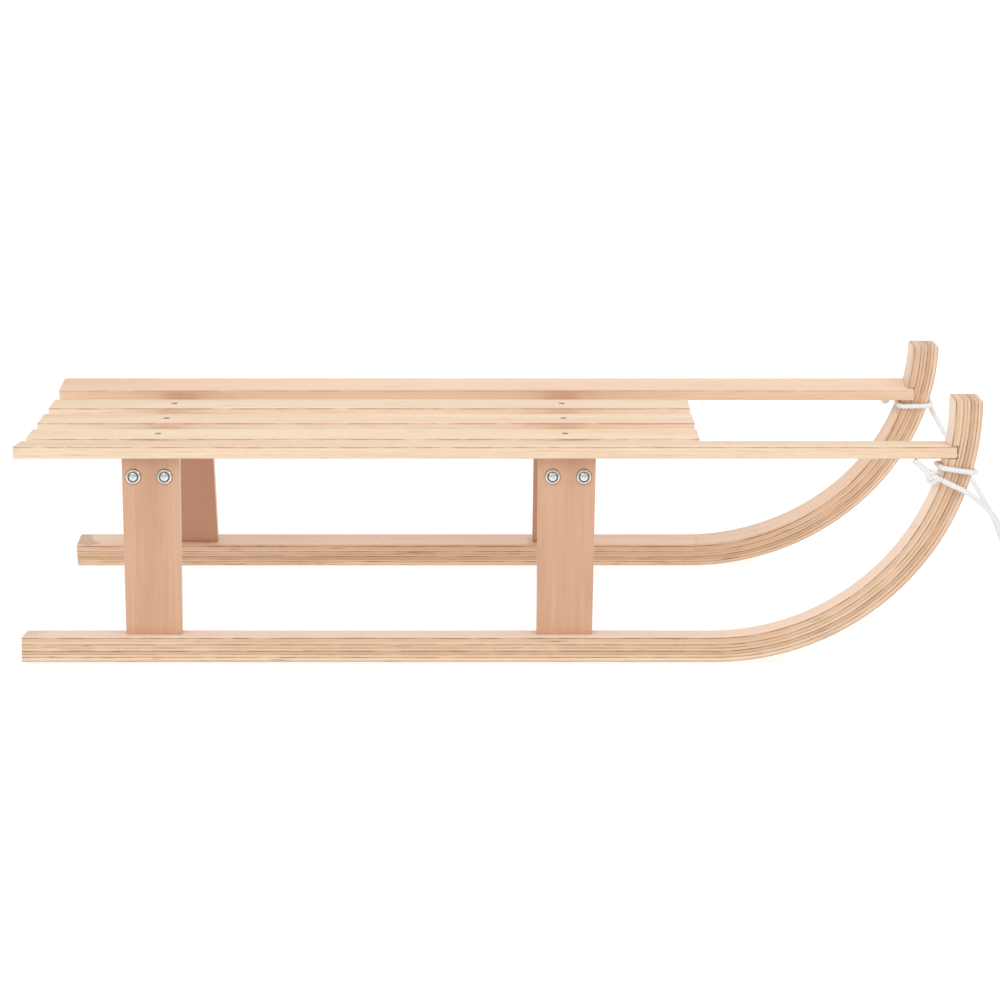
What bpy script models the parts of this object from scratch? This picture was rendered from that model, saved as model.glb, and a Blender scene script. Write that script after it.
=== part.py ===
# Slatted wooden sled: two bent runners, four posts, two cross bearers, five seat slats and a pull rope.
# Metres, +X towards the runner tips, +Z up, the floor at z = 0. The sled's right is -Y.
# Distances called x start at the runners' rear ends. On each splayed side, s runs inwards
# from the runner's outer face and h runs up from its sole.
import math

import bmesh
import bpy
from mathutils import Vector

# overall
runner_length = 1.100         # rear end to the front of the tips
sled_width = 0.370            # over the runners' outer bottom edges
splay = math.radians(7.66)    # the runners' tops lean towards each other
gap = 0.0003                  # between pieces that touch

# runners, bent from laminated wood
runner_width = 0.034
runner_thick = 0.0293
tip_thick = 0.0331
bend_length = 0.306           # the bend's reach along x
tip_height = 0.3007           # h of the tips' ends
bend_steps = 30
runner_round = 0.0035         # along the top and round the tips
sole_round = 0.0012           # along the sole and at the rear end
sole_round_ends = 25          # degrees round the bend
full_round_starts = 70        # degrees round the bend
runner_round_steps = 4

# seat slats
slat_width = 0.040
slat_thick = 0.0147
slat_round = 0.0022
slat_overhang = 0.0084        # behind the runners' rear ends
long_slat_inset = 0.0291      # of the long slats' ends in the tips' notches, behind the tips' fronts
long_slat_top = 0.2490        # h of their upper faces
short_slat_front = 0.7824
short_slat_top = 0.2412       # above the floor
short_slat_count = 3

# posts
post_thick = 0.012
post_inset = 0.0125           # from the runner's outer face
post_upright_edges = {"rear": 0.1801, "front": 0.5919}
post_outwards = {"rear": -1, "front": 1}
post_top_width = 0.0665
post_foot_width = 0.0642
post_foot_shift = 0.0019      # the feet stand this much nearer to each other
post_round = 0.0018
tenon_width = 0.046
tenon_length = 0.016

# cross bearers under the seat
bearer_wide = 0.049
bearer_deep = 0.029
bearer_round = 0.0012
dish_margin = 0.002           # the dished top's level stretch past the short slats

# screws through the posts into the bearers, in cup washers
post_screw_height = 0.2119    # h
post_screw_spacing = 0.036
post_screw_shift = 0.0015     # from the post's middle, away from its upright edge
post_screw_length = 0.040
post_screw_radius = 0.0024
post_head_radius = 0.0048
head_dome = 0.0007            # the head's middle above the washer's rim
head_drop = 0.0003            # the head's edge below it
countersink_slope = 0.7       # depth by radius under a head
point_length = 0.003
cup_radius = 0.0088
cup_rise = 0.0026
cup_edge = 0.0004             # the washer's upright outer edge
dish_slack = 0.0007           # between the head and the washer's dish
recess_wide = 0.0052
recess_slot = 0.0011
recess_deep = 0.0014

# countersunk screws through the short slats into the bearers
slat_screw_places = {"rear": 0.1445, "front": 0.6250}
slat_screw_radius = 0.0019
slat_head_radius = 0.0037
slat_head_edge = 0.0002
slat_head_deep = 0.0028
slat_screw_length = 0.034
slat_screw_sunk = 0.0010
hole_slack = 0.0004           # between a screw and its hole
hole_reach = 0.001            # a hole's end past the screw's point

# how far a cutter reaches past the faces that it cuts
cutter_reach = 0.010
notch_reach = 0.050

# pull rope
rope_thick = 0.006
lashing_drop = 0.0154         # under the long slats
lashing_rises = {"right": (0.0, -0.0045), "left": (0.0075, -0.0023)}   # at its front and back
knots = {                     # radius, s, distance behind the tip's back face, rise along the tip
    "right": (0.0095, 0.004, 0.0103, -0.0176),
    "left": (0.0075, 0.006, 0.0146, -0.0085),
}
coil_centre_x = 0.680         # in front of the origin
coil_radius = 0.033           # to the middle of its turns
coil_layers = 2
right_strand_route = [
    (0.5066, -0.1630, 0.2138), (0.5146, -0.1643, 0.2100), (0.5240, -0.1648, 0.2056),
    (0.5370, -0.1640, 0.1985), (0.5512, -0.1570, 0.1865), (0.5645, -0.1450, 0.1730),
    (0.5765, -0.1300, 0.1570), (0.5880, -0.1135, 0.1360), (0.5985, -0.0975, 0.1100),
    (0.6080, -0.0830, 0.0800), (0.6170, -0.0705, 0.0500), (0.6270, -0.0600, 0.0240),
    (0.6385, -0.0520, 0.0085), (0.6510, -0.0470, 0.0034),
]
left_strand_route = [
    (0.5510, 0.1335, 0.2165), (0.5572, 0.1272, 0.2040), (0.5656, 0.1195, 0.1890),
    (0.5806, 0.1030, 0.1655), (0.5932, 0.0850, 0.1410), (0.6040, 0.0690, 0.1225),
    (0.6130, 0.0560, 0.1060), (0.6215, 0.0485, 0.0860), (0.6290, 0.0455, 0.0640),
    (0.6360, 0.0450, 0.0430), (0.6440, 0.0455, 0.0270), (0.6540, 0.0462, 0.0170),
    (0.6650, 0.0465, 0.0130),
]

overall_length = runner_length + slat_overhang
long_slat_front = runner_length - long_slat_inset
lashing_height = long_slat_top - slat_thick - lashing_drop   # h on the fronts of the tips
bend_start = runner_length - bend_length
sharp_angle = 40              # in degrees; edges sharper than this are rounded
sides = {"right": -1, "left": 1}
ends = ("rear", "front")


def along(x):
    return x + slat_overhang - overall_length / 2


def sole_lift():
    """How far the rounded inner bottom corner would hang below the floor."""
    turns = [i / runner_round_steps * math.pi / 2 for i in range(runner_round_steps + 1)]
    return min(
        sole_round * ((1 - math.sin(t)) * math.sin(splay) + (1 - math.cos(t)) * math.cos(splay))
        for t in turns
    )


side_height = runner_width * math.sin(splay) - sole_lift()


def splayed(side, s, h):
    """The world y and z of a place on a splayed side."""
    y = -sled_width / 2 + s * math.cos(splay) + h * math.sin(splay)
    return -side * y, side_height - s * math.sin(splay) + h * math.cos(splay)


def short_slat_pitch():
    """For equal gaps all across the seat, between the long slats' inner edges."""
    inner_edge = splayed(1, slat_width, long_slat_top)[0]
    spare = 2 * inner_edge - short_slat_count * slat_width
    return slat_width + spare / (short_slat_count + 1)


def start():
    for old in list(bpy.data.objects):
        bpy.data.objects.remove(old, do_unlink=True)
    sled = bpy.data.collections.new("slatted_sled")
    cutters = bpy.data.collections.new("cutters")
    cutters.hide_render = True
    bpy.context.scene.collection.children.link(sled)
    bpy.context.scene.collection.children.link(cutters)
    return sled, cutters


sled_collection, cutter_collection = start()


def material(name, colour, roughness, metallic=0.0):
    made = bpy.data.materials.new(name)
    made.use_nodes = True
    shader = made.node_tree.nodes["Principled BSDF"]
    shader.inputs["Base Color"].default_value = (*colour, 1.0)
    shader.inputs["Roughness"].default_value = roughness
    shader.inputs["Metallic"].default_value = metallic
    made.diffuse_color = (*colour, 1.0)
    return made


def side_frames():
    """An empty for each splayed side: its y is across the side and its z is h."""
    frames = {}
    for name, side in sides.items():
        frame = bpy.data.objects.new("side_" + name, None)
        frame.location = (0, side * sled_width / 2, side_height)
        frame.rotation_euler = (side * splay, 0, 0)
        sled_collection.objects.link(frame)
        frames[name] = frame
    return frames


def finish_mesh(name, bm):
    bmesh.ops.recalc_face_normals(bm, faces=bm.faces)
    mesh = bpy.data.meshes.new(name)
    bm.to_mesh(mesh)
    bm.free()
    return mesh


def prism(name, outline, low, high, axis):
    """A solid between two parallel planes; the outline is in the other two axes, in their order."""
    bm = bmesh.new()
    corners = []
    for a, b in outline:
        place = [a, b]
        place.insert(axis, low)
        corners.append(bm.verts.new(place))
    face = bm.faces.new(corners)
    swept = bmesh.ops.extrude_face_region(bm, geom=[face])["geom"]
    step = [0, 0, 0]
    step[axis] = high - low
    moved = [v for v in swept if isinstance(v, bmesh.types.BMVert)]
    bmesh.ops.translate(bm, verts=moved, vec=step)
    return finish_mesh(name, bm)


def box(name, low, high):
    """A block between two opposite corners."""
    bm = bmesh.new()
    bmesh.ops.create_cube(bm, size=1)
    low = Vector(low)
    high = Vector(high)
    bmesh.ops.scale(bm, verts=bm.verts, vec=[abs(length) for length in high - low])
    bmesh.ops.translate(bm, verts=bm.verts, vec=(low + high) / 2)
    return finish_mesh(name, bm)


def rod(name, radius, low, high, steps):
    """A cylinder along z."""
    bm = bmesh.new()
    bmesh.ops.create_cone(
        bm, cap_ends=True, segments=steps, radius1=radius, radius2=radius, depth=high - low
    )
    bmesh.ops.translate(bm, verts=bm.verts, vec=(0, 0, (low + high) / 2))
    return finish_mesh(name, bm)


def join_meshes(name, meshes):
    bm = bmesh.new()
    for mesh in meshes:
        bm.from_mesh(mesh)
        bpy.data.meshes.remove(mesh)
    return finish_mesh(name, bm)


def profile_mesh(name, points, closed=False):
    """A line of (radius, z) points that turn() spins about z; it runs down on the outside."""
    bm = bmesh.new()
    verts = [bm.verts.new((r, 0, z)) for r, z in points]
    for a, b in zip(verts, verts[1:]):
        bm.edges.new((a, b))
    if closed:
        bm.edges.new((verts[-1], verts[0]))
    mesh = bpy.data.meshes.new(name)
    bm.to_mesh(mesh)
    bm.free()
    return mesh


def add(name, mesh, finish, parent=None):
    piece = bpy.data.objects.new(name, mesh)
    if not mesh.materials:
        mesh.materials.append(finish)
    piece.parent = parent
    sled_collection.objects.link(piece)
    return piece


def add_cutter(name, mesh, parent=None):
    cutter = bpy.data.objects.new(name, mesh)
    cutter.parent = parent
    cutter.display_type = "WIRE"
    cutter.hide_render = True
    cutter_collection.objects.link(cutter)
    return cutter


def turn(piece, steps):
    screw = piece.modifiers.new("turned", "SCREW")
    screw.axis = "Z"
    screw.angle = math.tau
    screw.steps = steps
    screw.render_steps = steps
    screw.use_merge_vertices = True
    screw.merge_threshold = 0.00001
    screw.use_smooth_shade = True


def round_edges(piece, width, segments, limit="ANGLE"):
    bevel = piece.modifiers.new("rounded edges", "BEVEL")
    bevel.width = width
    bevel.segments = segments
    bevel.limit_method = limit
    bevel.use_clamp_overlap = False
    bevel.angle_limit = math.radians(sharp_angle)


def mark_edges(mesh, share):
    """Gives each sharp edge its share of the bevel's width."""
    bm = bmesh.new()
    bm.from_mesh(mesh)
    weights = bm.edges.layers.float.new("bevel_weight_edge")
    for edge in bm.edges:
        if edge.calc_face_angle() > math.radians(sharp_angle):
            edge[weights] = share((edge.verts[0].co + edge.verts[1].co) / 2)
    bm.to_mesh(mesh)
    bm.free()


def cut(piece, cutter, solver="EXACT"):
    boolean = piece.modifiers.new("cut " + cutter.name, "BOOLEAN")
    boolean.operation = "DIFFERENCE"
    boolean.solver = solver
    boolean.object = cutter


# runners

def runner_outline():
    outer = []
    inner = []
    for i in range(bend_steps + 1):
        turn = i / bend_steps * math.pi / 2
        place = Vector((bend_start + bend_length * math.sin(turn), tip_height * (1 - math.cos(turn))))
        inwards = Vector((-math.sin(turn) / bend_length, math.cos(turn) / tip_height)).normalized()
        outer.append(place)
        inner.append(place + bend_thickness(turn) * inwards)
    line = [Vector((0, 0))] + outer + inner[::-1] + [Vector((0, runner_thick))]
    return [(along(p.x), p.y) for p in line]


def level_tip(mesh):
    """Raises the tip's inner edge, so that its end is level on the leaning side."""
    for vertex in mesh.vertices:
        if vertex.co.z > tip_height - gap:
            vertex.co.z += abs(vertex.co.y) * math.tan(splay)


def runner_edge_share(place):
    """Less rounding at the rear end and along the sole, growing along the bend."""
    reach = min(max((place.x - along(bend_start)) / bend_length, 0), 1)
    height = tip_height * (1 - math.sqrt(1 - reach * reach))
    least = sole_round / runner_round
    if place.x < along(0) + gap:
        return least
    if place.z > height + runner_thick / 2:
        return 1
    grown = (math.degrees(math.asin(reach)) - sole_round_ends) / (full_round_starts - sole_round_ends)
    return least + (1 - least) * min(max(grown, 0), 1)


def post_edge_share(place):
    """No rounding where the foot stands on the runner, or on the tenon."""
    return 1 if place.z > runner_thick + 2 * gap else 0


def tenon_edges(end):
    """Where a post's tenon starts and stops along x."""
    out = post_outwards[end]
    middle = post_upright_edges[end] + out * (post_foot_width / 2 - post_foot_shift)
    return middle - tenon_width / 2, middle + tenon_width / 2


def pocket_meshes(side):
    """Two mortises for the posts' tenons, and the notch that takes the long slat's end."""
    near = -side * (post_inset - gap)
    far = -side * (post_inset + post_thick + gap)
    pockets = []
    for end in ends:
        first, last = tenon_edges(end)
        pockets.append(box(
            "mortise",
            (along(first - gap), near, runner_thick - tenon_length),
            (along(last + gap), far, runner_thick + cutter_reach),
        ))
    pockets.append(box(
        "notch",
        (along(long_slat_front - notch_reach), side * cutter_reach, long_slat_top - slat_thick - gap),
        (along(long_slat_front + gap), -side * (slat_width + cutter_reach), long_slat_top + gap),
    ))
    return pockets


def add_runners(frames, finish):
    for name, side in sides.items():
        mesh = prism("runner_" + name, runner_outline(), 0, -side * runner_width, 1)
        level_tip(mesh)
        mark_edges(mesh, runner_edge_share)
        runner = add("runner_" + name, mesh, finish, frames[name])
        round_edges(runner, runner_round, runner_round_steps, limit="WEIGHT")
        pockets = join_meshes("runner_pockets", pocket_meshes(side))
        cutter = add_cutter("runner_pockets_" + name, pockets, frames[name])
        cut(runner, cutter, solver="MANIFOLD")   # EXACT loses a runner with two sizes of rounding


# posts and their screws

def post_outline(end):
    upright = post_upright_edges[end]
    out = post_outwards[end]
    foot = runner_thick + gap
    top = long_slat_top - slat_thick - gap
    first, last = tenon_edges(end)
    near, far = (last, first) if out < 0 else (first, last)
    deep = runner_thick - tenon_length + gap
    inner = upright - out * post_foot_shift
    line = [
        (inner, foot), (upright, top), (upright + out * post_top_width, top),
        (inner + out * post_foot_width, foot), (far, foot), (far, deep), (near, deep), (near, foot),
    ]
    return [(along(x), h) for x, h in line]


def post_screw_places(end):
    middle = post_upright_edges[end] + post_outwards[end] * (post_top_width / 2 + post_screw_shift)
    return middle - post_screw_spacing / 2, middle + post_screw_spacing / 2


def add_post_holes(frames):
    """Rods on the post screws' axes, from outside the post to past the screws' points."""
    radius = post_screw_radius + hole_slack
    mesh = rod("post_hole", radius, -post_inset - post_screw_length - hole_reach, cutter_reach, 20)
    holes = {}
    for end in ends:
        for name, side in sides.items():
            holes[end, name] = []
            for number, x in enumerate(post_screw_places(end), 1):
                hole = add_cutter(f"post_hole_{end}_{name}_{number}", mesh, frames[name])
                hole.location = (along(x), 0, post_screw_height)
                hole.rotation_euler = (-side * math.pi / 2, 0, 0)
                holes[end, name].append(hole)
    return holes


def add_posts(frames, finish, post_holes):
    for end in ends:
        for name, side in sides.items():
            near = -side * post_inset
            far = -side * (post_inset + post_thick)
            mesh = prism("post", post_outline(end), near, far, 1)
            mark_edges(mesh, post_edge_share)
            post = add(f"post_{end}_{name}", mesh, finish, frames[name])
            round_edges(post, post_round, 2, limit="WEIGHT")
            for hole in post_holes[end, name]:
                cut(post, hole)


def post_screw_profile():
    """From the domed head down to the point; the washer's rim is at cup_rise."""
    edge = cup_rise - head_drop
    neck = edge - (post_head_radius - post_screw_radius) * countersink_slope
    return [
        (0, cup_rise + head_dome), (post_head_radius * 0.5, cup_rise + head_dome * 0.7),
        (post_head_radius * 0.85, cup_rise + head_dome * 0.15), (post_head_radius, edge),
        (post_screw_radius, neck), (post_screw_radius, point_length - post_screw_length),
        (0, -post_screw_length),
    ]


def cup_washer_profile():
    hole = post_screw_radius + hole_slack
    dish = post_head_radius + dish_slack
    rim = cup_rise - head_drop + hole_slack / 4
    return [
        (hole, rim - (dish - hole) * countersink_slope), (dish, rim), (cup_radius * 0.74, cup_rise),
        (cup_radius * 0.84, cup_rise * 0.92), (cup_radius * 0.94, cup_rise * 0.62),
        (cup_radius, gap + cup_edge), (cup_radius, gap), (hole, gap),
    ]


def recess_mesh():
    """The cross recess in a screw's head."""
    arm = recess_wide / 2
    half = recess_slot / 2
    cross = [
        (arm, -half), (arm, half), (half, half), (half, arm), (-half, arm), (-half, half),
        (-arm, half), (-arm, -half), (-half, -half), (-half, -arm), (half, -arm), (half, -half),
    ]
    top = cup_rise + head_dome
    return prism("recess", cross, top - recess_deep, top + cutter_reach, 2)


def add_post_screws(frames, finish):
    screw_mesh = profile_mesh("post_screw", post_screw_profile())
    washer_mesh = profile_mesh("cup_washer", cup_washer_profile(), closed=True)
    cross_mesh = recess_mesh()
    for end in ends:
        for name, side in sides.items():
            for number, x in enumerate(post_screw_places(end), 1):
                label = f"{end}_{name}_{number}"
                screw = add("post_screw_" + label, screw_mesh, finish, frames[name])
                washer = add("cup_washer_" + label, washer_mesh, finish, frames[name])
                cross = add_cutter("recess_" + label, cross_mesh, frames[name])
                for piece in (screw, washer, cross):
                    piece.location = (along(x), -side * post_inset, post_screw_height)
                    piece.rotation_euler = (-side * math.pi / 2, 0, 0)
                turn(screw, 24)
                turn(washer, 32)
                cut(screw, cross)


# cross bearers

def bearer_outline():
    """Up one splayed end, along the dished top and down the other end, as world y and z."""
    first = post_inset + post_thick + gap
    top = long_slat_top - slat_thick - gap
    half = [
        splayed(-1, first, top - bearer_deep),
        splayed(-1, first, top),
        splayed(-1, slat_width + dish_margin / 2, top),
        (short_slat_middles()[0] - slat_width / 2 - dish_margin, short_slat_top - slat_thick - gap),
    ]
    return half + [(-y, z) for y, z in reversed(half)]


def short_slat_middles():
    middle = (short_slat_count - 1) / 2
    return [short_slat_pitch() * (i - middle) for i in range(short_slat_count)]


def slat_screw_profile():
    """A countersunk screw, from its sunk head down; z = 0 is the slat's upper face."""
    edge = -slat_screw_sunk - slat_head_edge
    return [
        (0, -slat_screw_sunk), (slat_head_radius, -slat_screw_sunk), (slat_head_radius, edge),
        (slat_screw_radius, edge - slat_head_deep),
        (slat_screw_radius, point_length - slat_screw_length), (0, -slat_screw_length),
    ]


def slat_hole_profile():
    """The same shape with slack round it, open at the top."""
    head = slat_head_radius + hole_slack
    shank = slat_screw_radius + hole_slack
    edge = -slat_screw_sunk - slat_head_edge - hole_slack / 2
    end = -slat_screw_length - hole_reach
    return [
        (0, cutter_reach), (head, cutter_reach), (head, edge), (shank, edge - slat_head_deep),
        (shank, end), (0, end),
    ]


def slat_screw_place(end, y):
    return along(slat_screw_places[end]), y, short_slat_top


def add_slat_holes():
    """A cutter for each screw, listed by short slat."""
    mesh = profile_mesh("slat_hole", slat_hole_profile())
    holes = []
    for number, y in enumerate(short_slat_middles(), 1):
        pair = {}
        for end in ends:
            hole = add_cutter(f"slat_hole_{end}_{number}", mesh)
            hole.location = slat_screw_place(end, y)
            turn(hole, 20)
            pair[end] = hole
        holes.append(pair)
    return holes


def add_bearers(finish, post_holes, slat_holes):
    for end in ends:
        low = along(slat_screw_places[end] - bearer_wide / 2)
        mesh = prism("bearer_" + end, bearer_outline(), low, low + bearer_wide, 0)
        bearer = add("cross_bearer_" + end, mesh, finish)
        round_edges(bearer, bearer_round, 2)
        holes = [hole for name in sides for hole in post_holes[end, name]]
        holes += [pair[end] for pair in slat_holes]
        for hole in holes:
            cut(bearer, hole)


# seat slats

def add_long_slats(frames, finish):
    for name, side in sides.items():
        mesh = box(
            "long_slat",
            (along(-slat_overhang), 0, long_slat_top - slat_thick),
            (along(long_slat_front), -side * slat_width, long_slat_top),
        )
        slat = add("long_slat_" + name, mesh, finish, frames[name])
        round_edges(slat, slat_round, 3)


def add_short_slats(finish, slat_holes):
    for number, (y, pair) in enumerate(zip(short_slat_middles(), slat_holes), 1):
        mesh = box(
            "short_slat",
            (along(-slat_overhang), y - slat_width / 2, short_slat_top - slat_thick),
            (along(short_slat_front), y + slat_width / 2, short_slat_top),
        )
        slat = add(f"short_slat_{number}", mesh, finish)
        round_edges(slat, slat_round, 3)
        for hole in pair.values():
            cut(slat, hole)


def add_slat_screws(finish):
    mesh = profile_mesh("slat_screw", slat_screw_profile())
    for end in ends:
        for number, y in enumerate(short_slat_middles(), 1):
            screw = add(f"slat_screw_{end}_{number}", mesh, finish)
            screw.location = slat_screw_place(end, y)
            turn(screw, 20)


# pull rope

def smooth_line(points, step):
    """Points about a step apart on a smooth curve through the given ones."""
    route = [Vector(p) for p in points]
    route = [2 * route[0] - route[1]] + route + [2 * route[-1] - route[-2]]
    fine = []
    for a, b, c, d in zip(route, route[1:], route[2:], route[3:]):
        for i in range(12):
            t = i / 12
            fine.append(
                0.5 * (2 * b + (c - a) * t + (2 * a - 5 * b + 4 * c - d) * t**2
                       + (3 * b - a - 3 * c + d) * t**3)
            )
    fine.append(route[-2])
    length = sum((b - a).length for a, b in zip(fine, fine[1:]))
    count = max(2, round(length / step))
    line = [fine[0]]
    walked = 0
    for a, b in zip(fine, fine[1:]):
        walked += (b - a).length
        while len(line) < count and walked >= len(line) * length / count:
            line.append(b + (a - b).normalized() * (walked - len(line) * length / count))
    line.append(fine[-1])
    return line


def tube(name, line, finish, closed=False):
    curve = bpy.data.curves.new(name, "CURVE")
    curve.dimensions = "3D"
    curve.bevel_depth = rope_thick / 2
    curve.bevel_resolution = 2
    curve.use_fill_caps = not closed
    spline = curve.splines.new("POLY")
    spline.points.add(len(line) - 1)
    for point, place in zip(spline.points, line):
        point.co = (*place, 1)
    spline.use_cyclic_u = closed
    return add(name, curve, finish)


def bend_turn(height):
    """How far round the bend the sole's face reaches a height."""
    return math.acos(1 - height / tip_height)


def bend_thickness(turn):
    return runner_thick + (tip_thick - runner_thick) * turn / (math.pi / 2)


def lashing_frame():
    """A place on a tip's front face, the directions in and up there, as x and h, and the thickness."""
    turn = bend_turn(lashing_height)
    front = Vector((bend_start + bend_length * math.sin(turn), lashing_height))
    inwards = Vector((-math.sin(turn) / bend_length, math.cos(turn) / tip_height)).normalized()
    return front, inwards, Vector((inwards.y, -inwards.x)), bend_thickness(turn)


def on_tip(side, s, deep, rise):
    """A world place by the lashing: s across, deep behind the front face, rise up along the tip."""
    front, inwards, upwards, _ = lashing_frame()
    place = front + deep * inwards + rise * upwards
    y, z = splayed(side, s, place.y)
    return along(place.x), y, z


def lashing_line(side):
    """A rounded rectangle round the tip, a rope's radius and a gap outside its faces."""
    off = rope_thick / 2 + gap
    radius = runner_round + off
    thick = lashing_frame()[3]
    front_rise, back_rise = lashing_rises["right" if side < 0 else "left"]
    line = []
    for corner, (s, deep) in enumerate(
        [(runner_width, thick), (0, thick), (0, 0), (runner_width, 0)]
    ):
        middle_s = s + (runner_round if s == 0 else -runner_round)
        middle_deep = deep + (runner_round if deep == 0 else -runner_round)
        for i in range(5):
            turn = (corner + i / 4) * math.pi / 2
            deep_here = middle_deep + radius * math.sin(turn)
            rise = front_rise + (back_rise - front_rise) * deep_here / thick
            line.append(on_tip(side, middle_s + radius * math.cos(turn), deep_here, rise))
    return line


def add_lashings(finish):
    for name, side in sides.items():
        tube("rope_lashing_" + name, lashing_line(side), finish, closed=True)
        radius, s, behind, rise = knots[name]
        bm = bmesh.new()
        bmesh.ops.create_uvsphere(bm, u_segments=20, v_segments=12, radius=radius)
        knot = add("rope_knot_" + name, finish_mesh("rope_knot", bm), finish)
        thick = bend_thickness(bend_turn(lashing_height + rise))
        knot.location = on_tip(side, s, thick + behind, rise)
        knot.data.shade_smooth()


def add_coil(finish):
    """The rope wound up in front of the sled, as one ring."""
    half_wide = coil_layers * rope_thick / 2
    high = coil_layers * rope_thick + gap
    inner = coil_radius - half_wide
    outer = coil_radius + half_wide
    chamfer = rope_thick / 3
    ring = [
        (inner, high - chamfer), (inner + chamfer, high), (outer - chamfer, high),
        (outer, high - chamfer), (outer, chamfer), (outer - chamfer, 0), (inner + chamfer, 0),
        (inner, chamfer),
    ]
    coil = add("rope_coil", profile_mesh("rope_coil", ring, closed=True), finish)
    coil.location = (coil_centre_x, 0, 0)
    turn(coil, 40)


def add_rope(finish):
    add_lashings(finish)
    tube("rope_strand_right", smooth_line(right_strand_route, 2.4 * rope_thick), finish)
    tube("rope_strand_left", smooth_line(left_strand_route, 2.4 * rope_thick), finish)
    add_coil(finish)


def build():
    runner_wood = material("runner_wood", (0.78, 0.55, 0.37), 0.42)
    slat_wood = material("slat_wood", (0.88, 0.66, 0.46), 0.42)
    post_wood = material("post_wood", (0.68, 0.40, 0.26), 0.45)
    zinc = material("zinc_steel", (0.80, 0.80, 0.78), 0.25, metallic=1.0)
    dull_zinc = material("dull_steel", (0.45, 0.42, 0.38), 0.45, metallic=1.0)
    cord = material("rope_white", (0.84, 0.82, 0.78), 0.75)
    frames = side_frames()
    post_holes = add_post_holes(frames)
    slat_holes = add_slat_holes()
    add_runners(frames, runner_wood)
    add_posts(frames, post_wood, post_holes)
    add_bearers(post_wood, post_holes, slat_holes)
    add_long_slats(frames, slat_wood)
    add_short_slats(slat_wood, slat_holes)
    add_post_screws(frames, zinc)
    add_slat_screws(dull_zinc)
    add_rope(cord)


build()
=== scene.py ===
import math
import bmesh
import bpy
from mathutils import Matrix, Vector


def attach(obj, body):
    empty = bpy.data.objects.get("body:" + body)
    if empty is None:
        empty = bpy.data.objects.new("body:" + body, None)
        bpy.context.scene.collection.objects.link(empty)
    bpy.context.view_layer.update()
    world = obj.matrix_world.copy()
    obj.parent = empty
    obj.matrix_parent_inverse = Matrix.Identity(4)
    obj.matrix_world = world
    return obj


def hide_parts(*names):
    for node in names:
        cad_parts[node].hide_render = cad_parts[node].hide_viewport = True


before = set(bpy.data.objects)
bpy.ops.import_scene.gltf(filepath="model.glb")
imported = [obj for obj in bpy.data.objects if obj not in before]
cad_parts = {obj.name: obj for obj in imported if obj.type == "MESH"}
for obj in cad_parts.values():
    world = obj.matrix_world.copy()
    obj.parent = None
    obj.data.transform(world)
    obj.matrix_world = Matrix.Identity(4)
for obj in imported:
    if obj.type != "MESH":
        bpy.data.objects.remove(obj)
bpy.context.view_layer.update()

# Slatted sled. Metres, +X to the runner tips, +Z up, the sled's right side at -Y.
# On each leaning side, s runs inwards from the runner's outer face and h runs up from its sole.

sled = {
    "halfWidth": 0.185,
    "lean": math.radians(7.66),
    "soleHeight": 0.00437,        # of the sole's outer edge
    "rearEnd": -0.5458,           # X of the runners' rear ends
    "bendStart": 0.794,           # ahead of the rear ends
    "bendLength": 0.306,
    "tipHeight": 0.3007,
    "runnerWidth": 0.034,
    "runnerThick": 0.0293,
    "tipThick": 0.0331,
    "slatThick": 0.0147,
    "longSlatTop": 0.2490,
    "shortSlatTop": 0.2412,
    "postInset": 0.0125,
    "postThick": 0.012,
}
sides = {"right": -1, "left": 1}


def leaning(side, s, h):          # world y and z of a place on a leaning side
    turn = sled["lean"]
    y = -sled["halfWidth"] + s * math.cos(turn) + h * math.sin(turn)
    return -side * y, sled["soleHeight"] - s * math.sin(turn) + h * math.cos(turn)


# camera, light and floor

view = {
    "lens": 78.351,
    "sensor": 36,
    "x": 0.0024,
    "back": 2.5474,
    "height": 0.9667,
    "down": math.radians(10),
    "shift": -0.3068,
    "clipEnd": 100,
}


def addCamera():
    data = bpy.data.cameras.new("camera")
    data.lens = view["lens"]
    data.sensor_width = view["sensor"]
    data.shift_y = view["shift"]
    data.clip_end = view["clipEnd"]
    camera = bpy.data.objects.new("camera", data)
    camera.location = (view["x"], -view["back"], view["height"])
    camera.rotation_euler = (math.pi / 2 - view["down"], 0, 0)
    bpy.context.scene.collection.objects.link(camera)
    bpy.context.scene.camera = camera


studio = {
    "sky": 0.58,
    "lamps": [                    # place, width, power
        ((-1.6, -2.2, 3.0), 2.2, 46),
        ((1.8, -1.2, 2.6), 2.0, 24),
        ((0.2, 2.4, 2.8), 2.4, 22),
    ],
    "lampAim": (0, 0, 0.15),
    "floorSize": 60,
    "floorColour": (0.30, 0.30, 0.30, 1),
    "floorGlow": 0.82,
    "floorRoughness": 0.9,
    "floorShine": 0.1,
}


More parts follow.
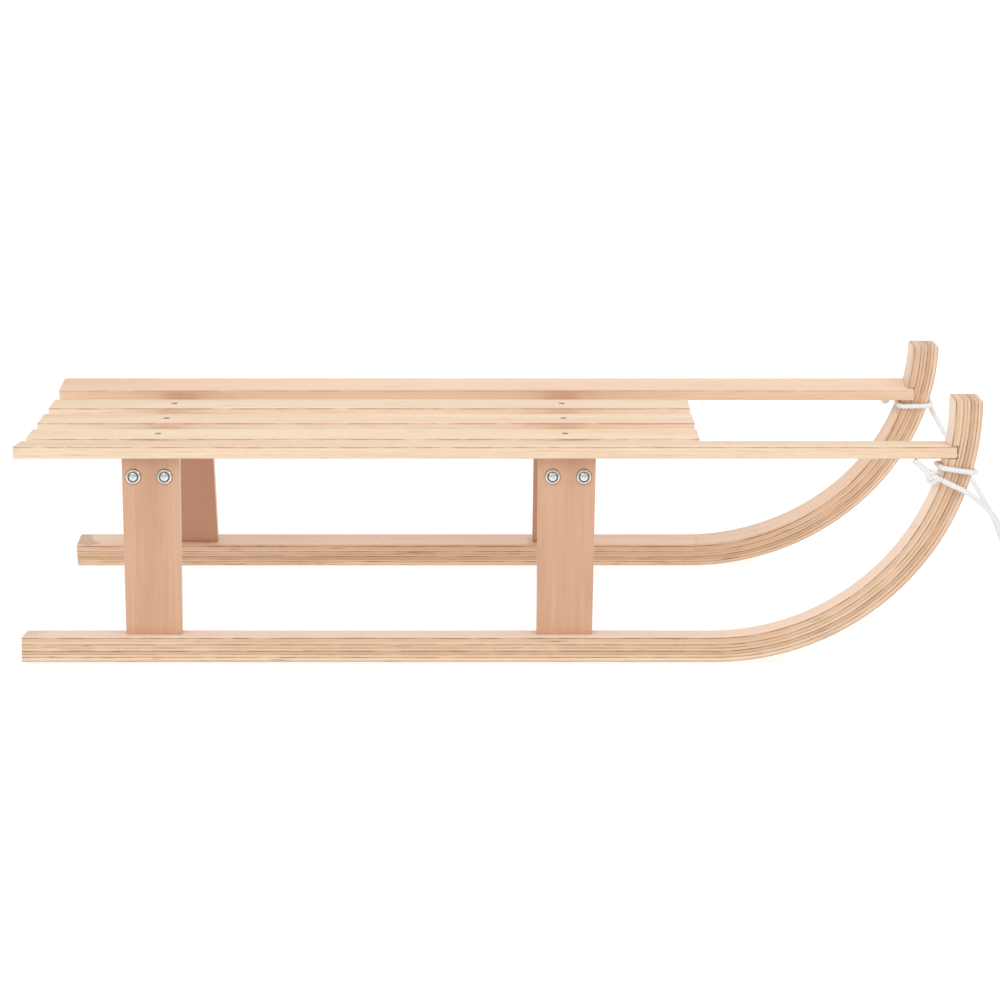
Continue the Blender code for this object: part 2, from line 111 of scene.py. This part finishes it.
def addStudio():
    world = bpy.data.worlds.new("studio")
    world.use_nodes = True
    sky = world.node_tree.nodes["Background"]
    sky.inputs["Color"].default_value = (1, 1, 1, 1)
    sky.inputs["Strength"].default_value = studio["sky"]
    bpy.context.scene.world = world
    bpy.context.scene.view_settings.view_transform = "Standard"
    for number, (place, width, power) in enumerate(studio["lamps"]):
        data = bpy.data.lights.new(f"lamp{number}", "AREA")
        data.shape = "SQUARE"
        data.size = width
        data.energy = power
        lamp = bpy.data.objects.new(f"lamp{number}", data)
        lamp.location = place
        aim = Vector(studio["lampAim"]) - Vector(place)
        lamp.rotation_euler = aim.to_track_quat("-Z", "Y").to_euler()
        bpy.context.scene.collection.objects.link(lamp)
    bpy.ops.object.select_all(action="DESELECT")
    bpy.ops.mesh.primitive_plane_add(size=studio["floorSize"], location=(0, 0, 0))
    floor = bpy.context.object
    floor.name = "floor"
    paper = bpy.data.materials.new("paleFloor")
    paper.use_nodes = True
    shader = paper.node_tree.nodes["Principled BSDF"]
    shader.inputs["Base Color"].default_value = studio["floorColour"]
    shader.inputs["Roughness"].default_value = studio["floorRoughness"]
    shader.inputs["Specular IOR Level"].default_value = studio["floorShine"]
    shader.inputs["Emission Color"].default_value = (1, 1, 1, 1)
    shader.inputs["Emission Strength"].default_value = studio["floorGlow"]
    floor.data.materials.append(paper)


addCamera()
addStudio()
print("camera, light and floor are in place")


# materials: sums on sockets are written as plain expressions

class Signal:
    def __init__(self, paint, socket):
        self.paint = paint
        self.socket = socket

    def __add__(self, other):
        return self.paint.maths("ADD", self, other)

    def __sub__(self, other):
        return self.paint.maths("SUBTRACT", self, other)

    def __rsub__(self, other):
        return self.paint.maths("SUBTRACT", other, self)

    def __mul__(self, other):
        return self.paint.maths("MULTIPLY", self, other)

    def __truediv__(self, other):
        return self.paint.maths("DIVIDE", self, other)


class Paint:
    def __init__(self, name, fixed):
        self.material = bpy.data.materials.new(name)
        self.material.use_nodes = True
        self.tree = self.material.node_tree
        self.shader = self.tree.nodes["Principled BSDF"]
        for socket, value in fixed.items():
            self.shader.inputs[socket].default_value = value

    def join(self, socket, value):
        if isinstance(value, Signal):
            self.tree.links.new(value.socket, socket)
        else:
            socket.default_value = value

    def node(self, kind, settings, inputs, output=0):
        made = self.tree.nodes.new(kind)
        for name, value in settings.items():
            setattr(made, name, value)
        for socket, value in inputs.items():
            self.join(made.inputs[socket], value)
        return Signal(self, made.outputs[output])

    def feed(self, socket, value):
        self.join(self.shader.inputs[socket], value)

    def maths(self, operation, a, b=0.0):
        return self.node("ShaderNodeMath", {"operation": operation}, {0: a, 1: b})

    def vector(self, x, y, z):
        return self.node("ShaderNodeCombineXYZ", {}, {0: x, 1: y, 2: z})

    def place(self):              # x, y and z in metres
        whole = self.node("ShaderNodeTexCoord", {}, {}, "Object")
        return [self.node("ShaderNodeSeparateXYZ", {}, {0: whole}, axis) for axis in range(3)]

    def cloud(self, vector, scale=1.0, detail=2.0, rough=0.5):
        inputs = {"Vector": vector, "Scale": scale, "Detail": detail, "Roughness": rough}
        return self.node("ShaderNodeTexNoise", {}, inputs)

    def chance(self, number):     # one random value for each whole number
        return self.node("ShaderNodeTexWhiteNoise", {"noise_dimensions": "1D"}, {"W": number})

    def rise(self, value, low, high):    # 0 below low, 1 above high, smooth between
        settings = {"interpolation_type": "SMOOTHSTEP"}
        return self.node("ShaderNodeMapRange", settings, {0: value, 1: low, 2: high})

    def mix(self, amount, a, b):
        return self.node("ShaderNodeMix", {"data_type": "RGBA"}, {0: amount, 6: a, 7: b}, 2)

    def bump(self, height, depth, strength=0.5):
        inputs = {"Height": height, "Distance": depth, "Strength": strength}
        self.feed("Normal", self.node("ShaderNodeBump", {}, inputs))


def rgb(red, green, blue):        # from screen values up to 255
    def linear(value):
        value /= 255
        return value / 12.92 if value <= 0.04045 else ((value + 0.055) / 1.055) ** 2.4
    return linear(red), linear(green), linear(blue), 1.0


# wood

timber = {
    "slatLight": rgb(244, 219, 190),
    "slatDark": rgb(232, 196, 160),
    "runnerLight": rgb(244, 215, 188),
    "runnerDark": rgb(226, 188, 156),
    "postLight": rgb(217, 173, 142),
    "postDark": rgb(202, 156, 125),
    # painted shade: the cross bearers' colour is darker, as in the shade under the seat
    "bearer": rgb(176, 126, 98),
    "runnerBrown": rgb(204, 162, 122),
    "runnerFace": rgb(252, 230, 214),
    # a paler wood tone, and painted light on the short slats' sides
    "slatFace": rgb(254, 231, 205),
    "glue": rgb(122, 74, 46),
    "endGrain": rgb(206, 164, 124),
    "fleck": rgb(178, 126, 88),
    "streak": rgb(176, 120, 84),
    "slatPink": rgb(230, 188, 160),
    # painted shade for the posts' inner faces
    "postInside": rgb(184, 134, 106),
    "slatPly": 0.0021,
    "runnerPly": 0.00366,
    "postPly": 0.0017,
    "plyWaver": 0.0006,
    "slatSkin": (0.0008, 0.0012),      # where the face layer ends, as a soft edge
    "slatFirstGlue": (0.0017, 0.0024),
    "runnerSkin": (0.0010, 0.0004),    # before the far face
    "postSkin": (0.0008, 0.0014),
    "postFarSkin": (0.0014, 0.0006),   # before the far face
    "grainDepth": 0.00012,
    "varnish": {"Coat Weight": 0.12, "Coat Roughness": 0.22, "Specular IOR Level": 0.35},
}


def leaningPlace(paint, side):    # the world x, and s and h on a leaning side
    x, y, z = paint.place()
    outwards = y * -side + sled["halfWidth"]
    up = z - sled["soleHeight"]
    turn = sled["lean"]
    s = outwards * math.cos(turn) - up * math.sin(turn)
    h = outwards * math.sin(turn) + up * math.cos(turn)
    return x, s, h


def grain(paint, along, across, deep, light, dark):
    # long soft bands, fine streaks and the short flecks of beech
    bands = paint.cloud(paint.vector(along * 1.6, across * 34, deep * 34), detail=2)
    streaks = paint.cloud(paint.vector(along * 9, across * 420, deep * 420), detail=3, rough=0.6)
    flecks = paint.cloud(paint.vector(along * 190, across * 1500, deep * 1500), detail=1)
    tone = paint.rise(bands * 0.55 + streaks * 0.45, 0.36, 0.64)
    colour = paint.mix(tone, light, dark)
    colour = paint.mix(paint.rise(flecks, 0.64, 0.76) * 0.35, colour, timber["fleck"])
    return colour, streaks, flecks


def plies(paint, along, across, deep, thick):
    # the place among the layers, the layer's number, and 1 at a glue line falling to 0 between
    waver = paint.cloud(paint.vector(along * 5, across * 5, deep * 5), detail=1)
    layer = (deep + (waver - 0.5) * timber["plyWaver"]) / thick + 0.5
    number = paint.maths("FLOOR", layer)
    edge = paint.maths("ABSOLUTE", layer - number - 0.5) * 2
    return layer, number, edge


def gluePatches(paint, along, across, number):    # glue lines are stronger here, fainter there
    return paint.cloud(paint.vector(along * 28 + number * 7, across * 20, number * 3), detail=3)


def finishWood(paint, colour, streaks, flecks, roughness):
    paint.feed("Base Color", colour)
    paint.feed("Roughness", streaks * 0.16 + flecks * 0.08 + (roughness - 0.12))
    paint.bump(streaks * 0.7 + flecks * 0.5, timber["grainDepth"])
    return paint.material


def slatWood(name, side):
    paint = Paint(name, timber["varnish"])
    if side:
        x, across, h = leaningPlace(paint, side)
        deep = sled["longSlatTop"] - h
    else:
        x, across, z = paint.place()
        deep = sled["shortSlatTop"] - z
    colour, streaks, flecks = grain(paint, x, across, deep, timber["slatLight"], timber["slatDark"])
    _, number, edge = plies(paint, x, across, deep, timber["slatPly"])
    patches = gluePatches(paint, x, across, number)
    crossed = paint.maths("FLOORED_MODULO", number, 2.0)
    below = paint.rise(deep, *timber["slatSkin"])
    # a paler tone of the wood on all slats; on the short slats everything below the face layer,
    # their sides, is lightened more, painted light against the shade in the gaps between them
    paler = 0.18 if side else below * 0.40 + 0.22
    colour = paint.mix(paler, colour, timber["slatFace"])
    colour = paint.mix(crossed * below * 0.12, colour, timber["endGrain"])
    line = paint.rise(edge, 0.60, 0.95) * paint.rise(patches, 0.30, 0.62) * below
    colour = paint.mix(line * 0.22, colour, timber["glue"])
    first = below * (1 - paint.rise(deep, *timber["slatFirstGlue"]))
    first = first * paint.rise(patches, 0.30, 0.60)
    colour = paint.mix(first * 0.60, colour, timber["glue"])
    spotPlace = paint.vector(x * 13 + side * 5.0, across * 150, deep * 900)
    spots = paint.cloud(spotPlace, detail=3, rough=0.6)
    streaked = paint.rise(spots, 0.58, 0.66) * (below * 0.22 + 0.18)
    colour = paint.mix(streaked, colour, timber["streak"])
    if side > 0:
        colour = paint.mix(0.45, colour, timber["slatPink"])
    return finishWood(paint, colour, streaks, flecks, 0.40)


def runnerWood(name, side):
    paint = Paint(name, timber["varnish"])
    x, across, h = leaningPlace(paint, side)
    # how far round the bend, and how deep under the sole's face as a share of the thickness
    out = paint.maths("MAXIMUM", x - (sled["rearEnd"] + sled["bendStart"]), 0.0) / sled["bendLength"]
    down = (sled["tipHeight"] - h) / sled["tipHeight"]
    turn = paint.maths("ARCTAN2", out, down)
    ring = paint.maths("SQRT", out * out + down * down)
    flat = sled["runnerThick"] / sled["tipHeight"]
    steep = sled["tipThick"] / sled["bendLength"]
    deep = (1 - ring) / (turn * ((steep - flat) / (math.pi / 2)) + flat) * sled["runnerThick"]
    bend = turn * ((sled["tipHeight"] + sled["bendLength"]) / 2)
    along = paint.maths("MINIMUM", x, sled["rearEnd"] + sled["bendStart"]) + bend
    colour, streaks, flecks = grain(
        paint, along, across, deep, timber["runnerLight"], timber["runnerDark"]
    )
    layer, number, edge = plies(paint, along, across, deep, timber["runnerPly"])
    patches = gluePatches(paint, along, across, number)
    own = paint.chance(paint.maths("FLOOR", layer + 0.5) + 11.0)
    tone = paint.chance(number + 3.0)
    colour = paint.mix(tone * tone * 0.85, colour, timber["runnerBrown"])
    strength = own * 0.85 + 0.12
    line = paint.rise(edge, 0.58, 0.90) * (paint.rise(patches, 0.38, 0.56) * 0.80 + 0.20)
    colour = paint.mix(line * strength, colour, timber["glue"])
    spots = paint.cloud(paint.vector(along * 22, across * 8, deep * 520), detail=2)
    colour = paint.mix(paint.rise(spots, 0.62, 0.70) * 0.45, colour, timber["glue"])
    start, end = (sled["runnerThick"] - depth for depth in timber["runnerSkin"])
    face = paint.rise(deep, start, end)
    colour = paint.mix(face * (0.60 if side < 0 else 0.22), colour, timber["runnerFace"])
    return finishWood(paint, colour, streaks, flecks, 0.42)


def postWood(name, side):
    paint = Paint(name, timber["varnish"])
    x, s, h = leaningPlace(paint, side)
    deep = s - sled["postInset"]
    figure = paint.cloud(paint.vector(h * 9, x * 26, deep * 26), detail=3)
    colour, streaks, flecks = grain(paint, h, x, deep, timber["postLight"], timber["postDark"])
    colour = paint.mix(paint.rise(figure, 0.40, 0.62) * 0.5, colour, timber["postLight"])
    # painted shade: the posts' inner faces are darkened, as where the seat and the near parts shade
    # them
    start, end = (sled["postThick"] - depth for depth in timber["postFarSkin"])
    inner = paint.rise(deep, start, end)
    colour = paint.mix(inner * 0.80, colour, timber["postInside"])
    _, number, edge = plies(paint, h, x, deep, timber["postPly"])
    skin = timber["postSkin"]
    inside = paint.rise(deep, *skin) * paint.rise(sled["postThick"] - deep, *skin)
    crossed = paint.maths("FLOORED_MODULO", number, 2.0)
    colour = paint.mix(inside * 0.7, colour, timber["slatLight"])
    colour = paint.mix(crossed * inside * 0.5, colour, timber["endGrain"])
    line = paint.rise(edge, 0.74, 0.98) * inside
    colour = paint.mix(line * 0.5, colour, timber["glue"])
    return finishWood(paint, colour, streaks, flecks, 0.45)


# painted shade: the cross bearers are coloured darker than the posts, as they look in the shade
# under the seat
def bearerWood(name):
    paint = Paint(name, timber["varnish"])
    x, y, z = paint.place()
    colour, streaks, flecks = grain(paint, y, x, z, timber["postDark"], timber["bearer"])
    return finishWood(paint, colour, streaks, flecks, 0.50)


# metal

# the washers' and post screws' ring colours are painted highlights, reflections and shade, not the
# metal's own colours
metal = {
    "head": (0.80, 0.80, 0.78, 1),
    "dish": (0.26, 0.25, 0.24, 1),
    "ring": (0.90, 0.90, 0.88, 1),
    "rim": (0.07, 0.065, 0.06, 1),
    "dishFrom": (0.0046, 0.0050),      # distances from the screw's middle, each a soft edge
    "ringFrom": (0.0062, 0.0070),
    "rimFrom": (0.0081, 0.0086),
    "seamFrom": (0.0043, 0.0047),
    "seamTo": (0.0050, 0.0055),
    "scratchDepth": 0.00002,
    "dullLight": (0.42, 0.38, 0.34, 1),
    "dullDark": (0.22, 0.19, 0.17, 1),
}


def plated(name, colour, dark, roughness):
    paint = Paint(name, {"Metallic": 1.0})
    x, y, z = paint.place()
    spots = paint.cloud(paint.vector(x, y, z), scale=900, detail=3)
    scratches = paint.cloud(paint.vector(x * 300, y * 300, z * 2600), detail=2)
    paint.feed("Base Color", paint.mix(paint.rise(spots, 0.40, 0.75), colour, dark))
    paint.feed("Roughness", spots * 0.18 + scratches * 0.14 + (roughness - 0.16))
    paint.bump(scratches, metal["scratchDepth"])
    return paint.material


def screwPlate(name, side, node):    # painted reflections and painted shade: rings of light and dark round a screw in its cup washer
    corners = [Vector(c) for c in bpy.data.objects[node].bound_box]
    middle = bpy.data.objects[node].matrix_world @ (sum(corners, Vector()) / 8)
    outwards = middle.y * -side + sled["halfWidth"]
    above = middle.z - sled["soleHeight"]
    middleUp = outwards * math.sin(sled["lean"]) + above * math.cos(sled["lean"])
    paint = Paint(name, {"Metallic": 1.0})
    x, _, h = leaningPlace(paint, side)
    along = x - middle.x
    up = h - middleUp
    radius = paint.maths("SQRT", along * along + up * up)
    # painted highlight on the head, painted shade in the dish, a painted reflection on the ring, and
    # painted shade at the rim and in the seam between washer and head
    colour = paint.mix(paint.rise(radius, *metal["dishFrom"]), metal["head"], metal["dish"])
    colour = paint.mix(paint.rise(radius, *metal["ringFrom"]), colour, metal["ring"])
    colour = paint.mix(paint.rise(radius, *metal["rimFrom"]), colour, metal["rim"])
    seam = paint.rise(radius, *metal["seamFrom"]) * (1 - paint.rise(radius, *metal["seamTo"]))
    colour = paint.mix(seam * 0.85, colour, metal["rim"])
    x, y, z = paint.place()
    spots = paint.cloud(paint.vector(x, y, z), scale=900, detail=3)
    paint.feed("Base Color", colour)
    paint.feed("Roughness", spots * 0.20 + 0.14)
    return paint.material


def dress(node, material):
    for slot in bpy.data.objects[node].material_slots:
        slot.material = material


def dressFrame():
    for name, side in sides.items():
        dress(f"runner_{name}", runnerWood(f"runnerWood_{name}", side))
        dress(f"long_slat_{name}", slatWood(f"longSlatWood_{name}", side))
        post = postWood(f"postWood_{name}", side)
        for end in ("rear", "front"):
            dress(f"post_{end}_{name}", post)
    short = slatWood("shortSlatWood", 0)
    for number in (1, 2, 3):
        dress(f"short_slat_{number}", short)
    bearer = bearerWood("bearerWood")
    dull = plated("dullPlate", metal["dullLight"], metal["dullDark"], 0.48)
    for end in ("rear", "front"):
        dress(f"cross_bearer_{end}", bearer)
        for number in (1, 2, 3):
            dress(f"slat_screw_{end}_{number}", dull)
        for name, side in sides.items():
            for number in (1, 2):
                washer = f"cup_washer_{end}_{name}_{number}"
                zinc = screwPlate(f"zinc_{end}_{name}_{number}", side, washer)
                dress(washer, zinc)
                dress(f"post_screw_{end}_{name}_{number}", zinc)


dressFrame()
print("the frame has its wood and metal")


# pull rope

rope = {
    "thick": 0.006,
    "length": 1.55,
    "ringStep": 0.0011,
    "ringSides": 18,
    "relief": 0.00018,            # how far a braided strand stands out
    "strands": 4,                 # running each way round
    "lay": 0.020,                 # of one strand's turn round the rope
    "coilCentre": (0.680, 0.0),
    "coilWide": 0.036,
    "coilNarrow": 0.030,
    "coilLow": 0.0036,
    "coilHigh": 0.0096,
    "coilTurned": 1620,           # degrees wound in all; the rest say where it steps over
    "stepIn": (290, 350),
    "stepUp": (600, 670),
    "stepOut": (900, 960),
    "weaveMiddle": 0.45,
    "endRound": 0.45,             # how far an end bulges, in radii
    "fibreDepth": 0.00025,
    "colour": rgb(240, 240, 240),
    "shade": rgb(206, 204, 202),
}
rightRoute = [
    (0.5066, -0.1630, 0.2138), (0.5146, -0.1643, 0.2100), (0.5240, -0.1648, 0.2056),
    (0.5370, -0.1640, 0.1985), (0.5512, -0.1570, 0.1865), (0.5645, -0.1450, 0.1730),
    (0.5765, -0.1300, 0.1570), (0.5880, -0.1135, 0.1360), (0.5985, -0.0975, 0.1100),
    (0.6080, -0.0830, 0.0800), (0.6170, -0.0705, 0.0500), (0.6270, -0.0600, 0.0240),
    (0.6385, -0.0520, 0.0085), (0.6510, -0.0470, 0.0034),
]
leftRoute = [
    (0.5510, 0.1335, 0.2165), (0.5572, 0.1272, 0.2040), (0.5656, 0.1195, 0.1890),
    (0.5806, 0.1030, 0.1655), (0.5932, 0.0850, 0.1410), (0.6040, 0.0690, 0.1225),
    (0.6130, 0.0560, 0.1060), (0.6215, 0.0485, 0.0860), (0.6290, 0.0455, 0.0640),
    (0.6360, 0.0450, 0.0430), (0.6440, 0.0455, 0.0270), (0.6540, 0.0462, 0.0170),
    (0.6650, 0.0465, 0.0130),
]


def eased(angle, start, end):     # 0 before start, 1 after end, smooth between, in degrees
    t = min(max((angle - start) / (end - start), 0), 1)
    return t * t * (3 - 2 * t)


def coilPoints():
    # wound from the outside in, up a layer, and back out on top
    wide, narrow = rope["coilWide"], rope["coilNarrow"]
    points = []
    for angle in range(0, rope["coilTurned"] + 1, 20):
        radius = wide + (narrow - wide) * eased(angle, *rope["stepIn"])
        radius += (wide - narrow) * eased(angle, *rope["stepOut"])
        climbed = eased(angle, *rope["stepUp"])
        z = rope["coilLow"] + (rope["coilHigh"] - rope["coilLow"]) * climbed
        turn = math.radians(angle - 90)
        x = rope["coilCentre"][0] + radius * math.cos(turn)
        points.append((x, rope["coilCentre"][1] + radius * math.sin(turn), z))
    return points


def smoothLine(points, step):     # evenly spaced points on a smooth curve through the given ones
    route = [Vector(p) for p in points]
    route = [2 * route[0] - route[1]] + route + [2 * route[-1] - route[-2]]
    fine = []
    for a, b, c, d in zip(route, route[1:], route[2:], route[3:]):
        for i in range(16):
            t = i / 16
            square = (2 * a - 5 * b + 4 * c - d) * t * t
            fine.append((2 * b + (c - a) * t + square + (3 * b - a - 3 * c + d) * t ** 3) / 2)
    fine.append(route[-2])
    length = sum((b - a).length for a, b in zip(fine, fine[1:]))
    count = max(4, round(length / step))
    line = [fine[0]]
    walked = 0
    for a, b in zip(fine, fine[1:]):
        walked += (b - a).length
        while len(line) < count and walked >= len(line) * length / count:
            line.append(b + (a - b).normalized() * (walked - len(line) * length / count))
    line.append(fine[-1])
    return line


def ringFrames(line, closed):     # a steady sideways direction at each point, and the way along
    count = len(line)
    ways = []
    for i, here in enumerate(line):
        after = line[(i + 1) % count] if closed or i < count - 1 else here
        before = line[i - 1] if closed or i else here
        ways.append((after - before).normalized())
    across = ways[0].orthogonal().normalized()
    frames = []
    for way in ways:
        across = (across - way * across.dot(way)).normalized()
        frames.append((across, way))
    if not closed:
        return frames
    first = frames[0][0]
    last = (across - ways[0] * across.dot(ways[0])).normalized()
    twist = math.atan2(last.cross(first).dot(ways[0]), last.dot(first))
    return [
        (Matrix.Rotation(twist * i / count, 3, way) @ side, way)
        for i, (side, way) in enumerate(frames)
    ]


def braidHeight(walked, turn):    # two sets of strands that cross over and under each other
    phase = walked / rope["lay"] * math.tau
    first = math.sin((turn + phase) * rope["strands"])
    second = math.sin((turn - phase) * rope["strands"])
    return rope["relief"] * (max(first, second) - rope["weaveMiddle"])


def ropeTube(name, line, closed=False, thick=None):
    radius = (thick or rope["thick"]) / 2
    sidesCount = rope["ringSides"]
    bm = bmesh.new()
    uvs = bm.loops.layers.uv.new("ropeLine")
    rings = []
    walks = []
    walked = 0
    before = line[0]
    for here, (across, way) in zip(line, ringFrames(line, closed)):
        walked += (here - before).length
        before = here
        other = way.cross(across)
        ring = []
        for k in range(sidesCount):
            turn = k / sidesCount * math.tau
            out = across * math.cos(turn) + other * math.sin(turn)
            ring.append(bm.verts.new(here + out * (radius + braidHeight(walked, turn))))
        rings.append(ring)
        walks.append(walked)
    joins = list(zip(range(len(rings) - 1), range(1, len(rings))))
    if closed:
        joins.append((len(rings) - 1, 0))
    for i, j in joins:
        end = walks[j] if j else walks[i] + (line[0] - line[-1]).length
        for k in range(sidesCount):
            m = (k + 1) % sidesCount
            face = bm.faces.new((rings[i][k], rings[i][m], rings[j][m], rings[j][k]))
            face.smooth = True
            corners = ((walks[i], k), (walks[i], k + 1), (end, k + 1), (end, k))
            for loop, (length, around) in zip(face.loops, corners):
                loop[uvs].uv = (length, around / sidesCount)
    if not closed:
        for ring, inwards in ((rings[0], -1), (rings[-1], 1)):
            way = (line[1] - line[0]) if inwards < 0 else (line[-1] - line[-2])
            middle = sum((v.co for v in ring), Vector()) / sidesCount
            tip = bm.verts.new(middle + way.normalized() * inwards * radius * rope["endRound"])
            for k in range(sidesCount):
                pair = [ring[k], ring[(k + 1) % sidesCount]]
                face = bm.faces.new(pair[::-inwards] + [tip])
                face.smooth = True
    bmesh.ops.recalc_face_normals(bm, faces=bm.faces)
    mesh = bpy.data.meshes.new(name)
    bm.to_mesh(mesh)
    bm.free()
    piece = bpy.data.objects.new(name, mesh)
    bpy.context.scene.collection.objects.link(piece)
    return piece


def ropeFibre():
    paint = Paint("whiteCord", {"Specular IOR Level": 0.25, "Sheen Weight": 0.25})
    place = paint.node("ShaderNodeUVMap", {"uv_map": "ropeLine"}, {})
    length = paint.node("ShaderNodeSeparateXYZ", {}, {0: place}, 0)
    around = paint.node("ShaderNodeSeparateXYZ", {}, {0: place}, 1)
    turn = around * (math.tau * rope["strands"])
    phase = length * (math.tau * rope["strands"] / rope["lay"])
    first = paint.maths("SINE", turn + phase)
    second = paint.maths("SINE", turn - phase)
    top = paint.maths("MAXIMUM", first, second)
    yarn = paint.maths("SINE", (turn + phase) * 6) * 0.5
    # painted shade in the hollows between the braided strands
    hollow = 1 - paint.rise(top, 0.0, 0.75)
    x, y, z = paint.place()
    dirt = paint.cloud(paint.vector(x, y, z), scale=160, detail=3)
    # painted hollow shade plus real dirt, both toward the greyer rope colour
    shade = hollow * 0.32 + paint.rise(dirt, 0.55, 0.80) * 0.18
    paint.feed("Base Color", paint.mix(shade, rope["colour"], rope["shade"]))
    paint.feed("Roughness", dirt * 0.15 + 0.68)
    paint.bump(top * 0.8 + yarn * 0.2, rope["fibreDepth"])
    return paint.material


tip = {
    "loopDrop": 0.0154,
    "loopRises": {"right": (0.0, -0.0045), "left": (0.0075, -0.0023)},    # at its front and back
    "knots": {                    # radius, s, distance behind the tip's back, rise along the tip
        "right": (0.0095, 0.004, 0.0103, -0.0176),
        "left": (0.0075, 0.006, 0.0146, -0.0085),
    },
    "tails": {"right": (-0.0205, 0.0178), "left": (-0.0085, 0.0045)},    # along x, and up
    "tailAside": -0.002,
    "tailThick": 0.0070,
    "knotThick": 0.0052,
    "knotTurns": (math.radians(70), math.radians(25)),    # about x, and about z first
    "loopGap": 0.0003,
    "cornerRadius": 0.0035,
}


def loopHeight():
    return sled["longSlatTop"] - sled["slatThick"] - tip["loopDrop"]


def bendTurn(height):             # how far round the bend its outer face reaches this height
    return math.acos(1 - height / sled["tipHeight"])


def onTip(side, s, deep, rise):
    # by the loop: s across, deep behind the tip's front face, rise up along the tip
    height = loopHeight()
    turn = bendTurn(height)
    inwards = Vector((-math.sin(turn) / sled["bendLength"], math.cos(turn) / sled["tipHeight"]))
    inwards.normalize()
    upwards = Vector((inwards.y, -inwards.x))
    x = sled["bendStart"] + sled["bendLength"] * math.sin(turn)
    place = Vector((x, height)) + deep * inwards + rise * upwards
    y, z = leaning(side, s, place.y)
    return Vector((sled["rearEnd"] + place.x, y, z))


def tipThickness(rise=0):
    turn = bendTurn(loopHeight() + rise)
    return sled["runnerThick"] + (sled["tipThick"] - sled["runnerThick"]) * turn / (math.pi / 2)


def loopLine(side):               # once round the tip, a rope's radius outside its faces
    off = rope["thick"] / 2 + tip["loopGap"]
    cornerRadius = tip["cornerRadius"]
    reach = cornerRadius + off
    width, thick = sled["runnerWidth"], tipThickness()
    front, back = tip["loopRises"]["right" if side < 0 else "left"]
    line = []
    for corner, (s, deep) in enumerate([(width, thick), (0, thick), (0, 0), (width, 0)]):
        middleS = s + (cornerRadius if s == 0 else -cornerRadius)
        middleDeep = deep + (cornerRadius if deep == 0 else -cornerRadius)
        for i in range(9):
            turn = (corner + i / 8) * math.pi / 2
            line.append((middleS + reach * math.cos(turn), middleDeep + reach * math.sin(turn)))
    dense = []
    for (s, deep), (nextS, nextDeep) in zip(line, line[1:] + line[:1]):
        length = math.hypot(nextS - s, nextDeep - deep)
        parts = max(1, round(length / rope["ringStep"]))
        for i in range(parts):
            share = i / parts
            deepHere = deep + (nextDeep - deep) * share
            rise = front + (back - front) * deepHere / thick
            dense.append(onTip(side, s + (nextS - s) * share, deepHere, rise))
    return dense


def knotLine(centre, size, turned):    # an overhand knot pulled tight
    line = []
    for i in range(120):
        t = i / 120 * math.tau
        out = 2 + math.cos(3 * t)
        point = Vector((out * math.cos(2 * t), out * math.sin(2 * t), 1.25 * math.sin(3 * t)))
        line.append(centre + turned @ (point * size / 3))
    return line


def tieRope():
    fibre = ropeFibre()
    pieces = []
    for name, side in sides.items():
        radius, s, behind, rise = tip["knots"][name]
        centre = onTip(side, s, tipThickness(rise) + behind, rise)
        loop = ropeTube(f"ropeLoop_{name}", loopLine(side), closed=True)
        aboutX, aboutZ = tip["knotTurns"]
        turned = Matrix.Rotation(aboutX, 3, "X") @ Matrix.Rotation(aboutZ, 3, "Z")
        line = knotLine(centre, radius - tip["knotThick"] / 2, turned)
        knot = ropeTube(f"ropeKnot_{name}", line, closed=True, thick=tip["knotThick"])
        tailOut, tailUp = tip["tails"][name]
        line = smoothLine([
            centre + Vector((tailOut * share, tip["tailAside"] * side * share, tailUp * share))
            for share in (0.15, 0.6, 1)
        ], rope["ringStep"])
        tail = ropeTube(f"ropeTail_{name}", line, thick=tip["tailThick"])
        if name == "right":       # the strand starts a little way off its knot
            start = Vector(rightRoute[0])
            line = smoothLine([centre, (centre + start) / 2, start], rope["ringStep"])
            pieces.append(ropeTube("ropeNeck_right", line))
        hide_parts(f"rope_lashing_{name}")
        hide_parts(f"rope_knot_{name}")
        pieces += [loop, knot, tail]
    line = smoothLine(rightRoute + coilPoints() + leftRoute[::-1], rope["ringStep"])
    cord = ropeTube("pullRope", line)
    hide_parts("rope_strand_right", "rope_coil", "rope_strand_left")
    for piece in [cord] + pieces:
        piece.data.materials.append(fibre)
        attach(piece, "root")


tieRope()
print("the rope is tied")
